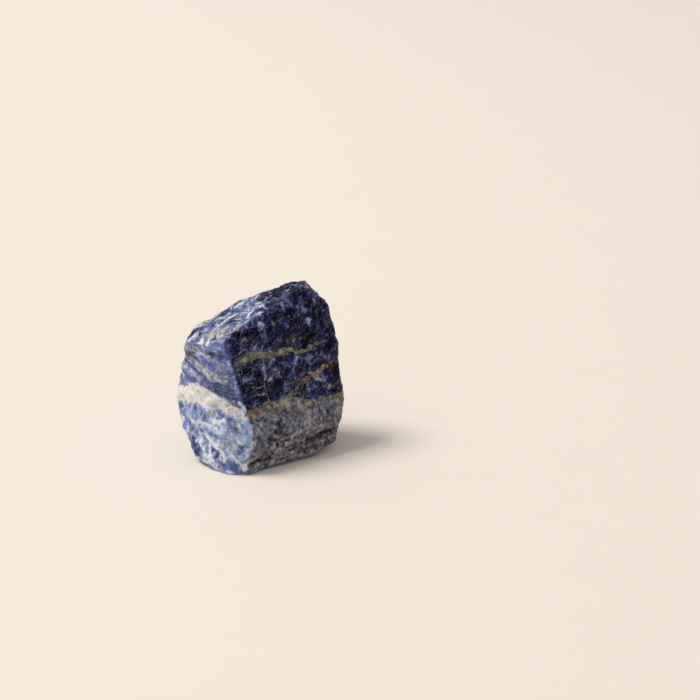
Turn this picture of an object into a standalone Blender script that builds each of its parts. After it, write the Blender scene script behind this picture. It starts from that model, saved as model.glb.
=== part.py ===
# Rough sodalite: one broken lump of banded blue stone, about 52 x 44 x 49 mm, resting on a small
# flat spot. Metres, +Z up, seen from -Y. The origin is the centre of the bounding box's base.
#
# The lump is the convex block between its corners. A fine surface over that block is then broken
# up by the seams, ledges, knobs, flakes and chips that the fracture faces have, and thinned to the
# triangles that show them. The mineral layers lie almost level through the stone.

import math

import bmesh
import bpy
from mathutils import Vector, kdtree, noise

MM = 0.001

# Corners of the block, in millimetres, by the edge or face that each one ends.
CORNERS = {
    # the sharp ridge between the two near faces, from the top down
    "ridge_top": (-9.5, -14, 40),
    "ridge_seam": (-2.5, -19, 19),
    "ridge_low": (-0.5, -21, 13),
    "ridge_foot": (-2, -21, 3.5),
    # the flat spot that the stone rests on, from the toe under the ridge round to the left
    "rest_toe_right": (-1.5, -21.6, 0),
    "rest_near_right": (3, -13.5, 0),
    "rest_right": (8, -5, 0),
    "rest_far_right": (7, 6, 0),
    "rest_far": (-3, 11, 0),
    "rest_far_left": (-12, 4, 0),
    "rest_near_left": (-13, -17.2, 0),
    "rest_toe_left": (-8, -22.2, 0),
    # the sole round it, just off the ground
    "sole_near_right": (6, -12.5, 0.9),
    "sole_right": (14, -3, 1.2),
    "sole_far_right": (12, 9, 1.5),
    "sole_far": (-3, 15, 1.6),
    "sole_far_left": (-16, 8, 1.6),
    # the left face, from under its foot up its outline
    "left_heel": (-16, -15.5, 1.5),
    "left_foot": (-19.5, -10.5, 2),
    "left_low": (-24.5, 3, 11),
    "left_bulge": (-25.5, 4, 14.5),
    "left_band": (-24, 3, 20.5),
    "left_waist": (-22.5, -1, 27.5),
    "left_shoulder": (-21.5, -4, 35.5),
    "left_crown": (-17.5, -5, 37),
    # the sloping top, along its far edge
    "top_corner_left": (-19.5, 3, 37.5),
    "top_far_left": (-16.5, 9, 38),
    "top_far_middle": (-5, 18, 42),
    "top_far_right": (10.5, 19, 48),
    "peak": (14.5, 16, 49.5),
    # the top's near edge, above the dark face
    "dark_edge_left": (-6.5, -11, 42),
    "dark_edge_middle": (2, -3, 44.5),
    "dark_edge_right": (10.5, 7, 48),
    # the dark face's far side, from the top down
    "right_shoulder": (21.5, 12, 43.5),
    "right_crown": (24, 9, 35.5),
    "right_upper": (25, 6.5, 27.5),
    "right_seam": (26, 3, 17.5),
    "right_bulge": (27, 1, 14),
    "right_low": (25.5, -1.5, 8),
    "right_foot": (24, -3, 3),
    "right_heel": (16.5, -9, 0.8),
    # the far side, which the near faces hide
    "far_left_high": (-21, 13, 31),
    "far_left_low": (-20, 15, 6),
    "far_left_belly": (-24, 12, 18),
    "far_middle_high": (-2, 22, 33),
    "far_middle_low": (-3, 20, 4),
    "far_belly": (5, 22.5, 17),
    "far_right_high": (19, 18, 38),
    "far_right_belly": (24, 12, 22),
    "far_right_low": (17, 14, 3),
}

# How much the layers fall for each millimetre along X and Y, and how far they wander up and down.
DIP = (0.076, -0.104)
WANDER = {"size": 9, "height": 0.8}

# Seams and ledges in the layers: level of the layer at the origin's upright line, how much it
# climbs to the right, the place along X where it dies out on the left, how deep the surface is cut
# there, half the height of the cut, and whether it is a step down or a groove.
SEAM_FADE = 2
SEAMS = (
    {"level": 34.2, "rise": 0, "left_end": -40, "depth": 0.35, "half_height": 0.7, "step": False},
    {"level": 28.6, "rise": 0.02, "left_end": -40, "depth": 0.35, "half_height": 0.8, "step": True},
    {"level": 21.8, "rise": -0.11, "left_end": -40, "depth": 0.6, "half_height": 0.7, "step": True},
    {"level": 6.1, "rise": 0.155, "left_end": -3, "depth": 0.9, "half_height": 0.7, "step": False},
)

# Hollows (negative) and lumps (positive): centre, radius and height, in millimetres.
KNOBS = (
    {"centre": (-18.5, -6, 30), "radius": (1.8, 3.5, 8), "height": -1.1},
    {"centre": (-23, -1, 29), "radius": (4, 7, 5), "height": -1.1},
    {"centre": (-22, -1, 7), "radius": (5, 6, 5), "height": 0.8},
    {"centre": (6, -14.5, 0.5), "radius": (5, 5, 3.5), "height": -1.7},
    {"centre": (-12, -17, 8), "radius": (7, 6, 6), "height": 0.7},
    {"centre": (26, 1, 10), "radius": (5, 8, 7), "height": 1.5},
    {"centre": (18, -7, 1), "radius": (7, 6, 3), "height": 0.9},
    {"centre": (-15, 8, 40), "radius": (9, 6, 4), "height": -1.3},
    {"centre": (12, 21, 30), "radius": (9, 6, 8), "height": -1.6},
    {"centre": (-22, 12, 22), "radius": (6, 8, 6), "height": 0.9},
    {"centre": (22, 16, 12), "radius": (6, 6, 6), "height": -1.4},
)

# Spacing of the fine surface that is broken up, and how many triangles are kept of it.
FINE_SPACING = 0.6
TRIANGLES = 9000

# The flat spot: how near it a corner counts as part of it, and the least height of all the others.
REST_REACH = 0.15
LOWEST_OFF_REST = 0.2

# Broad swell of the faces, and the hollow flakes and chips that meet in sharp ridges all over
# them: how far apart, and, as shares of that, how deep, how tilted, how uneven in level, and the
# middle level that keeps the stone its size.
SWELL = {"size": 14, "height": 0.5, "place": Vector((3.1, 0, 0))}
FLAKES = {"size": 6.0, "hollow": 0.24, "tilt": 0.14, "lift": 0.08, "middle": 0.065}
CHIPS = {"size": 2.6, "hollow": 0.20, "tilt": 0.10, "lift": 0.08, "middle": 0.055}

# Spread of the places where each flake reads its own tilt and level from the noise, and the seed
# that fixes the tilts, which would otherwise change with the time of the build.
TILT_SPREAD = 7.3
LIFT_SPREAD = 11.9
TILT_SEED = 1795595959

# Ridges count as such above this bend. The relief fades towards them by this share over this
# width, so that they stay crisp, and here and there they are knocked back this deep.
RIDGE_ANGLE = math.radians(24)
RIDGE_WEAR = {"fade": 0.75, "width": 2.0, "depth": 0.7, "size": 4, "place": Vector((0, 5.7, 0))}

# Passes that even out the directions in which the surface is moved, so that ridges don't fold.
DIRECTION_PASSES = 14

# Finish of the blue stone.
COLOUR = (0.060, 0.105, 0.330, 1.0)
ROUGHNESS = 0.5


def clear_scene():
    for old in list(bpy.data.objects):
        bpy.data.objects.remove(old)


def block_between(corners):
    """The closed convex block between the corners, in millimetres."""
    block = bmesh.new()
    for corner in corners.values():
        block.verts.new(corner)
    hull = bmesh.ops.convex_hull(block, input=block.verts)
    inside = set(hull["geom_interior"]) | set(hull["geom_unused"])
    loose = [g for g in inside if isinstance(g, bmesh.types.BMVert)]
    bmesh.ops.delete(block, geom=loose, context="VERTS")
    bmesh.ops.recalc_face_normals(block, faces=block.faces)
    return block


def shaped_by(kind, stone, settings, kept=None):
    """The stone as a modifier leaves it. The vertices in kept are left as they are."""
    mesh = bpy.data.meshes.new("working_stone")
    stone.to_mesh(mesh)
    stone.free()
    working = bpy.data.objects.new("working_stone", mesh)
    bpy.context.scene.collection.objects.link(working)
    modifier = working.modifiers.new(kind.title(), kind)
    for name, value in settings.items():
        setattr(modifier, name, value)
    if kept is not None:
        group = working.vertex_groups.new(name="free")
        group.add([v.index for v in mesh.vertices if v.index not in kept], 1.0, "REPLACE")
        modifier.vertex_group = group.name
    shaped = bmesh.new()
    shaped.from_object(working, bpy.context.evaluated_depsgraph_get())
    bpy.data.objects.remove(working)
    bpy.data.meshes.remove(mesh)
    return shaped


def layer_level(point):
    """Height of the layer through a point, measured where the layer meets the origin's upright line."""
    return point.z + DIP[0] * point.x + DIP[1] * point.y


def seam_relief(point):
    level = layer_level(point) + WANDER["height"] * noise.noise(point / WANDER["size"])
    cut = 0.0
    for seam in SEAMS:
        away = (level - seam["level"] - seam["rise"] * point.x) / seam["half_height"]
        depth = seam["depth"] * (1 + math.tanh((point.x - seam["left_end"]) / SEAM_FADE)) / 2
        if seam["step"]:
            cut += depth * math.tanh(2 * away) / 2
        else:
            cut -= depth * math.exp(-away * away)
    return cut


def knob_relief(point):
    height = 0.0
    for knob in KNOBS:
        offset = [(p - c) / r for p, c, r in zip(point, knob["centre"], knob["radius"])]
        height += knob["height"] * math.exp(-sum(o * o for o in offset))
    return height


def flake_relief(point, flakes):
    """Shallow hollows, each with its own tilt and depth, that meet in sharp ridges."""
    scaled = point / flakes["size"]
    hollows = []
    for centre in noise.voronoi(scaled)[1]:
        offset = scaled - centre
        tilt = flakes["tilt"] * offset.dot(noise.noise_vector(TILT_SPREAD * centre))
        lift = flakes["lift"] * noise.noise(LIFT_SPREAD * centre)
        hollows.append(flakes["hollow"] * offset.length_squared + tilt + lift)
    return flakes["size"] * (min(hollows) - flakes["middle"])


def relief(point):
    swell = SWELL["height"] * noise.noise(point / SWELL["size"] + SWELL["place"])
    broken = flake_relief(point, FLAKES) + flake_relief(point, CHIPS)
    return swell + seam_relief(point) + knob_relief(point) + broken


def directions(stone):
    """The vertex normals, evened out so that they turn gradually round each ridge."""
    turned = [v.normal.copy() for v in stone.verts]
    near = [[e.other_vert(v).index for e in v.link_edges] for v in stone.verts]
    for _ in range(DIRECTION_PASSES):
        turned = [
            sum((turned[i] for i in neighbours), own).normalized()
            for own, neighbours in zip(turned, near)
        ]
    return turned


def ridge_tree(stone):
    """The vertices along the ridges, ready to be looked up by place."""
    ridges = [v.co for v in stone.verts if any(e.calc_face_angle(0) > RIDGE_ANGLE for e in v.link_edges)]
    tree = kdtree.KDTree(len(ridges))
    for index, place in enumerate(ridges):
        tree.insert(place, index)
    tree.balance()
    return tree


def worn_relief(point, ridges):
    """The relief as it fades towards the nearest ridge, with the ridge's own wear."""
    away = ridges.find(point)[2] / RIDGE_WEAR["width"]
    near = math.exp(-away * away)
    bite = max(0.0, noise.noise(point / RIDGE_WEAR["size"] + RIDGE_WEAR["place"]))
    return (1 - RIDGE_WEAR["fade"] * near) * relief(point) - RIDGE_WEAR["depth"] * near * bite


def break_up(stone):
    """Moves the fine surface by its relief. The flat spot only shifts within its own plane."""
    stone.normal_update()
    ridges = ridge_tree(stone)
    moves = [way * worn_relief(v.co, ridges) for v, way in zip(stone.verts, directions(stone))]
    resting = {v.index for v in stone.verts if v.co.z < REST_REACH}
    for vertex, move in zip(stone.verts, moves):
        vertex.co += move
        vertex.co.z = 0.0 if vertex.index in resting else max(vertex.co.z, LOWEST_OFF_REST)


def join_rest(stone):
    """Joins the faces of the flat spot into one, and returns the vertices round it."""
    flat = [f for f in stone.faces if all(v.co.z == 0.0 for v in f.verts)]
    bmesh.ops.dissolve_faces(stone, faces=flat)
    stone.verts.index_update()
    return {v.index for v in stone.verts if v.co.z == 0.0}


def centre_on_origin(stone):
    for axis in (0, 1):
        low = min(v.co[axis] for v in stone.verts)
        high = max(v.co[axis] for v in stone.verts)
        for vertex in stone.verts:
            vertex.co[axis] -= (low + high) / 2


def sodalite_material():
    material = bpy.data.materials.new("sodalite")
    material.use_nodes = True
    shader = material.node_tree.nodes["Principled BSDF"]
    shader.inputs["Base Color"].default_value = COLOUR
    shader.inputs["Roughness"].default_value = ROUGHNESS
    shader.inputs["Metallic"].default_value = 0.0
    return material


def build_stone():
    noise.seed_set(TILT_SEED)
    stone = block_between(CORNERS)
    stone = shaped_by("REMESH", stone, {"mode": "VOXEL", "voxel_size": FINE_SPACING})
    break_up(stone)
    round_rest = join_rest(stone)
    bmesh.ops.triangulate(stone, faces=stone.faces)
    share = TRIANGLES / len(stone.faces)
    stone = shaped_by("DECIMATE", stone, {"ratio": share}, kept=round_rest)
    join_rest(stone)
    centre_on_origin(stone)
    bmesh.ops.scale(stone, vec=(MM, MM, MM), verts=stone.verts)
    bmesh.ops.recalc_face_normals(stone, faces=stone.faces)
    mesh = bpy.data.meshes.new("sodalite_stone")
    stone.to_mesh(mesh)
    stone.free()
    mesh.materials.append(sodalite_material())
    placed = bpy.data.objects.new("sodalite_stone", mesh)
    bpy.context.scene.collection.objects.link(placed)
    return placed


clear_scene()
build_stone()
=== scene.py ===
from math import radians

import bmesh
import bpy
import numpy as np
from mathutils import Matrix, Vector


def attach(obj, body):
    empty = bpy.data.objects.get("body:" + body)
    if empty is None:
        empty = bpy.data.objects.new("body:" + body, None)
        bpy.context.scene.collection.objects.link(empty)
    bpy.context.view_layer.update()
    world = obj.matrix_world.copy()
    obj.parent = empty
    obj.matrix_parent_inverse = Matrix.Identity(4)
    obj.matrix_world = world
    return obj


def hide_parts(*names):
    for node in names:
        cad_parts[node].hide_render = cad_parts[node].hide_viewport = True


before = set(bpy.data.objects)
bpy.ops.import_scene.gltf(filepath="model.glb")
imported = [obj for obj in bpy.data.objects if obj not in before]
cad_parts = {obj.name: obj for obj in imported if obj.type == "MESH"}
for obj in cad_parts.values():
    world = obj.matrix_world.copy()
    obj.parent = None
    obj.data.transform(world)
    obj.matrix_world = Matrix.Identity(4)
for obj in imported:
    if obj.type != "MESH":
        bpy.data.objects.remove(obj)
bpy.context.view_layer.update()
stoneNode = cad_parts["sodalite_stone"]
scene = bpy.context.scene


# small helpers, most of them for node trees

def addObject(name, data):
    thing = bpy.data.objects.new(name, data)
    scene.collection.objects.link(thing)
    return thing


def addNode(tree, kind, **settings):
    node = tree.nodes.new(kind)
    for name, value in settings.items():
        setattr(node, name, value)
    return node


def addBeside(values, kind, **settings):
    # a node in the tree of the first socket among the values
    socket = next(v for v in values if isinstance(v, bpy.types.NodeSocket))
    return addNode(socket.id_data, kind, **settings)


def socketOf(sockets, name):
    if isinstance(name, int):
        return sockets[name]
    return next(s for s in sockets if s.name == name and s.enabled)


def feed(node, values):
    for name, value in values.items():
        if isinstance(value, bpy.types.NodeSocket):
            node.id_data.links.new(value, socketOf(node.inputs, name))
        elif value is not None:
            socketOf(node.inputs, name).default_value = value
    return node


def calc(operation, a, b=None, c=None, clamp=False):
    node = addBeside((a, b, c), "ShaderNodeMath", operation=operation, use_clamp=clamp)
    return feed(node, {0: a, 1: b, 2: c}).outputs[0]


def times(a, b):
    return calc("MULTIPLY", a, b)


def less(a, b):
    return calc("SUBTRACT", a, b)


def vectorCalc(operation, a, b=None, scale=None):
    node = addBeside((a, b, scale), "ShaderNodeVectorMath", operation=operation)
    feed(node, {0: a, 1: b} if scale is None else {0: a, "Scale": scale})
    return node.outputs["Value" if operation in ("DOT_PRODUCT", "LENGTH") else "Vector"]


def stepBetween(value, low, high, fromValue=0.0, toValue=1.0):
    node = addBeside([value], "ShaderNodeMapRange", interpolation_type="SMOOTHSTEP")
    ends = {"From Min": low, "From Max": high, "To Min": fromValue, "To Max": toValue}
    return feed(node, {"Value": value} | ends).outputs[0]


def noiseOf(vector, scale, detail, roughness, out="Fac"):
    node = addBeside([vector], "ShaderNodeTexNoise", noise_dimensions="3D")
    feed(node, {"Vector": vector, "Scale": scale, "Detail": detail, "Roughness": roughness})
    return socketOf(node.outputs, out)


def newGroup(name, inputs, output, outputKind="Float", kind="ShaderNodeTree"):
    # the inputs by name, each with its kind of socket, or its usual value where it takes a number;
    # gives what the tree is given, and the call that hands its result on and ends it
    group = bpy.data.node_groups.new(name, kind)

    def socket(label, way, sort):
        return group.interface.new_socket(name=label, in_out=way, socket_type="NodeSocket" + sort)

    for label, sort in inputs.items():
        if isinstance(sort, str):
            socket(label, "INPUT", sort)
        else:
            socket(label, "INPUT", "Float").default_value = sort
    socket(output, "OUTPUT", outputKind)

    def finish(result):
        group.links.new(result, group.nodes.new("NodeGroupOutput").inputs[0])
        return group

    return group.nodes.new("NodeGroupInput").outputs, finish


# the stone's shape: a fine copy of the solid, its facets melted, then flaked by a node tree

stoneShape = {
    "voxel": 0.345,         # mm between points
    "Melt": 5,              # rounds of smoothing that take the facets away
    "Flake Size": 2.7,
    "Flake Depth": 0.20,
    "Chip Size": 1.05,
    "Chip Depth": 0.08,
    "Lean": 4.5,            # how steeply flakes and chips lean
    "Grain Size": 0.55,
    "Grain Depth": 0.05,
    "Layer Pitch": 1.5,
    "Layer Depth": 0.22,
    "Rest Fade": 0.7,       # no relief this near the flat rest
    "Seed": 3.7,
}
flakeForm = {
    "lift": 0.6,            # how far flakes are set back from each other, as a share of their size
    "middle": 0.2,          # the height, as such a share, that leaves the stone its size
    "lowest": -0.9,
    "highest": 0.6,
}
ledgeForm = {
    "along": 0.09,          # how quickly a ledge changes along its layer
    "edge": (0.4, 0.62),    # the noise from which a ledge rises, and up to which
    "onLeft": (0.35, 0.85),     # how squarely the surface has to face left
    "above": (19.0, 24.0),      # levels between which the ledges set in
    "elsewhere": 0.25,
}
calmRounds = 8              # rounds that even out the normals
chipSeed = 11.3             # keeps the chips from following the flakes
hollowRounds = 5            # how wide the surroundings are that a hollow is measured from
leftFace = (-0.698, -0.710, 0.094)
topFace = (-0.330, 0.032, 0.944)
levelTilt = (0.076, -0.104, 1.0)    # the layers of the stone slope this way
toMillimetres = 1000.0


def copyInMillimetres(node):
    mesh = node.data.copy()
    mesh.materials.clear()
    tidy = bmesh.new()
    tidy.from_mesh(mesh)
    bmesh.ops.remove_doubles(tidy, verts=tidy.verts, dist=1e-6)
    bmesh.ops.scale(tidy, vec=(toMillimetres,) * 3, verts=tidy.verts)
    tidy.to_mesh(mesh)
    tidy.free()
    return mesh


def flakeGroup(kind):
    # hollow flakes: the lower of the two nearest bowls, each leaning and set back its own way
    given, finish = newGroup("flakeRelief", {
        "Position": "Vector", "Size": 3.0, "Depth": 0.15, "Lean": 4.0, "Seed": 0.0}, "Height", kind=kind)
    shifted = vectorCalc("ADD", given["Position"], given["Seed"])
    scale = calc("DIVIDE", 1.0, given["Size"])
    bowls = []
    for feature in ("F1", "F2"):
        cell = addBeside([shifted], "ShaderNodeTexVoronoi", voronoi_dimensions="3D", feature=feature)
        feed(cell, {"Vector": shifted, "Scale": scale})
        lean = vectorCalc("SUBTRACT", socketOf(cell.outputs, "Color"), (0.5, 0.5, 0.5))
        fromMiddle = vectorCalc("SUBTRACT", shifted, socketOf(cell.outputs, "Position"))
        slope = calc("DIVIDE", vectorCalc("DOT_PRODUCT", lean, fromMiddle), given["Size"])
        bowl = calc("POWER", socketOf(cell.outputs, "Distance"), 2.0)
        anyShare = calc("FRACT", times(vectorCalc("LENGTH", lean), 37.0))
        leaning = calc("MULTIPLY_ADD", slope, given["Lean"], bowl)
        bowls.append(calc("MULTIPLY_ADD", anyShare, flakeForm["lift"], leaning))
    height = less(calc("MINIMUM", *bowls), flakeForm["middle"])
    height = calc("MINIMUM", calc("MAXIMUM", height, flakeForm["lowest"]), flakeForm["highest"])
    return finish(times(height, given["Depth"]))


def blurOf(value, rounds):
    node = addBeside([value], "GeometryNodeBlurAttribute", data_type="FLOAT_VECTOR")
    return socketOf(feed(node, {"Value": value, "Iterations": rounds}).outputs, "Value")


def reliefTree():
    sizes = [name for name in stoneShape if name not in ("voxel", "Melt")]
    inputs = {"Geometry": "Geometry", "Melt": "Int", "Material": "Material"} | dict.fromkeys(sizes, 1.0)
    given, finish = newGroup("stoneRelief", inputs, "Geometry", "Geometry", "GeometryNodeTree")
    tree = given["Geometry"].id_data
    place = addNode(tree, "GeometryNodeInputPosition").outputs[0]
    normal = addNode(tree, "GeometryNodeInputNormal").outputs[0]
    soft = addNode(tree, "GeometryNodeSetPosition")
    feed(soft, {"Geometry": given["Geometry"], "Position": blurOf(place, given["Melt"])})
    facing = vectorCalc("NORMALIZE", blurOf(normal, calmRounds))
    flakes = flakeGroup("GeometryNodeTree")
    heights = []
    for kind, push in (("Flake", 0.0), ("Chip", chipSeed)):
        node = addNode(tree, "GeometryNodeGroup", node_tree=flakes)
        feed(node, {"Position": place, "Size": given[kind + " Size"], "Depth": given[kind + " Depth"],
                    "Lean": given["Lean"], "Seed": calc("ADD", given["Seed"], push)})
        heights.append(node.outputs[0])
    grain = noiseOf(place, calc("DIVIDE", 1.0, given["Grain Size"]), 3.0, 0.6)
    heights.append(times(less(grain, 0.5), given["Grain Depth"]))
    # ledges that follow the layers, on the left face most
    level = vectorCalc("DOT_PRODUCT", place, levelTilt)
    along = addNode(tree, "ShaderNodeCombineXYZ")
    feed(along, {0: calc("DIVIDE", level, given["Layer Pitch"])})
    for index, axis in ((1, (1.0, 0.0, 0.0)), (2, (0.0, 1.0, 0.0))):
        feed(along, {index: times(vectorCalc("DOT_PRODUCT", place, axis), ledgeForm["along"])})
    ledge = stepBetween(noiseOf(along.outputs[0], 1.0, 3.0, 0.6), *ledgeForm["edge"])
    ledge = times(less(ledge, 0.5), given["Layer Depth"])
    toLeft = vectorCalc("DOT_PRODUCT", facing, leftFace)
    onLeft = stepBetween(toLeft, *ledgeForm["onLeft"], ledgeForm["elsewhere"], 1.0)
    high = stepBetween(level, *ledgeForm["above"], ledgeForm["elsewhere"], 1.0)
    heights.append(times(times(ledge, onLeft), high))
    total = heights[0]
    for height in heights[1:]:
        total = calc("ADD", total, height)
    up = vectorCalc("DOT_PRODUCT", place, (0.0, 0.0, 1.0))
    total = times(total, stepBetween(up, 0.05, given["Rest Fade"]))
    broken = addNode(tree, "GeometryNodeSetPosition")
    feed(broken, {"Geometry": soft.outputs[0], "Offset": vectorCalc("SCALE", facing, scale=total)})
    # how hollow or proud each point is, kept for the material
    away = vectorCalc("SUBTRACT", blurOf(place, hollowRounds), place)
    store = addNode(tree, "GeometryNodeStoreNamedAttribute", data_type="FLOAT", domain="POINT")
    feed(store, {"Geometry": broken.outputs[0], "Name": "hollow",
                 "Value": vectorCalc("DOT_PRODUCT", away, normal)})
    real = addNode(tree, "GeometryNodeRealizeInstances")
    feed(real, {"Geometry": store.outputs[0]})
    coloured = addNode(tree, "GeometryNodeSetMaterial")
    feed(coloured, {"Geometry": real.outputs[0], "Material": given["Material"]})
    return finish(coloured.outputs[0])


def setModifierInput(modifier, name, value):
    socket = next(s for s in modifier.node_group.interface.items_tree
                  if s.item_type == "SOCKET" and s.in_out == "INPUT" and s.name == name)
    modifier[socket.identifier] = value


def makeStone(material):
    stone = addObject("sodaliteStone", copyInMillimetres(stoneNode))
    remesh = stone.modifiers.new("evenMesh", "REMESH")
    remesh.mode = "VOXEL"
    remesh.voxel_size = stoneShape["voxel"]
    relief = stone.modifiers.new("stoneRelief", "NODES")
    relief.node_group = reliefTree()
    for name, value in stoneShape.items():
        if name != "voxel":
            setModifierInput(relief, name, value)
    setModifierInput(relief, "Material", material)
    evaluated = stone.evaluated_get(bpy.context.evaluated_depsgraph_get())
    mesh = bpy.data.meshes.new_from_object(evaluated)
    stone.modifiers.clear()
    stone.data = mesh
    return stone


# points of the stone's mesh as numbers, in millimetres

def readVertices(mesh, what):
    values = np.empty(len(mesh.vertices) * 3)
    mesh.vertices.foreach_get(what, values)
    return values.reshape(-1, 3)


def blurred(mesh, values, rounds):
    edges = np.empty(len(mesh.edges) * 2, dtype=int)
    mesh.edges.foreach_get("vertices", edges)
    first, second = edges.reshape(-1, 2).T
    total = len(mesh.vertices)
    links = np.bincount(first, minlength=total) + np.bincount(second, minlength=total)
    for _ in range(rounds):
        summed = np.stack([np.bincount(first, column[second], total)
                           + np.bincount(second, column[first], total) for column in values.T], axis=1)
        values = 0.5 * values + 0.5 * summed / links[:, None]
    return values


def steadyNormals(mesh):
    normals = blurred(mesh, readVertices(mesh, "normal"), calmRounds)
    return normals / np.linalg.norm(normals, axis=1)[:, None]


dabDepth = 0.7              # mm above or below a dab within which the surface counts as level with it


def outsideOf(points, normals, rows):
    # mm along the surface from the nearest row; a row holds x, y, z and half width of dab after dab
    nearest = np.full(len(points), np.inf)
    for row in rows:
        dabs = np.array(row, dtype=float).reshape(-1, 4)
        pairs = list(zip(dabs[:-1], dabs[1:])) or [(dabs[0], dabs[0])]
        for start, end in pairs:
            line = end[:3] - start[:3]
            share = np.clip((points - start[:3]) @ line / max(line @ line, 1e-9), 0.0, 1.0)
            away = points - (start[:3] + share[:, None] * line)
            depth = np.clip((away * normals).sum(axis=1), -dabDepth, dabDepth)
            width = start[3] + share * (end[3] - start[3])
            along = np.linalg.norm(away - depth[:, None] * normals, axis=1)
            nearest = np.minimum(nearest, along - width)
    return nearest


# what is cut into the surface: the depth of each crevice or pit and its row of dabs, in mm

stoneCuts = [
    (0.50, [-2.2, -20.9, 3, 0.29, -1.2, -20, 3.5, 0.32, 0.1, -19.1, 3.8, 0.35, 1.9, -18, 3.2, 0.35, 3.2,
            -16.8, 3.3, 0.35, 4.4, -15.3, 4.3, 0.32]),
    (0.55, [7.9, -13.5, 4.6, 0.26, 9.9, -12.5, 4.1, 0.29, 11.9, -10.6, 5.2, 0.32, 13.9, -9.2, 5.7, 0.35,
            15, -8.1, 5.9, 0.38, 17.6, -6.8, 6, 0.35, 19.6, -4.4, 6.9, 0.38, 21.7, -3.5, 7.1, 0.35, 24.5,
            -1.8, 7.7, 0.32]),
    (0.55, [-12.6, -17.5, 14.2, 0.3]),
    (0.60, [21, -3, 13.6, 0.25, 20.4, -3.6, 11.6, 0.4]),
    (0.30, [-9.2, -20.1, 11, 0.2]),
]
cutForm = {
    "side": 0.45,           # mm over which the side of a cut slopes
    "flat": 0.06,           # mm above the floor below which a point is put down on it
}


def cutStone(mesh):
    points = readVertices(mesh, "co")
    normals = steadyNormals(mesh)
    for depth, row in stoneCuts:
        away = outsideOf(points, normals, [row])
        share = np.clip(1.0 - away / cutForm["side"], 0.0, 1.0)
        points -= normals * (depth * share * share * (3 - 2 * share))[:, None]
    points[:, 2] = np.where(points[:, 2] < cutForm["flat"], 0.0, points[:, 2])
    mesh.vertices.foreach_set("co", points.ravel())
    mesh.update()


# where the minerals lie: a row of dabs for each streak or patch, as x, y, z and half width in mm

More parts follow.
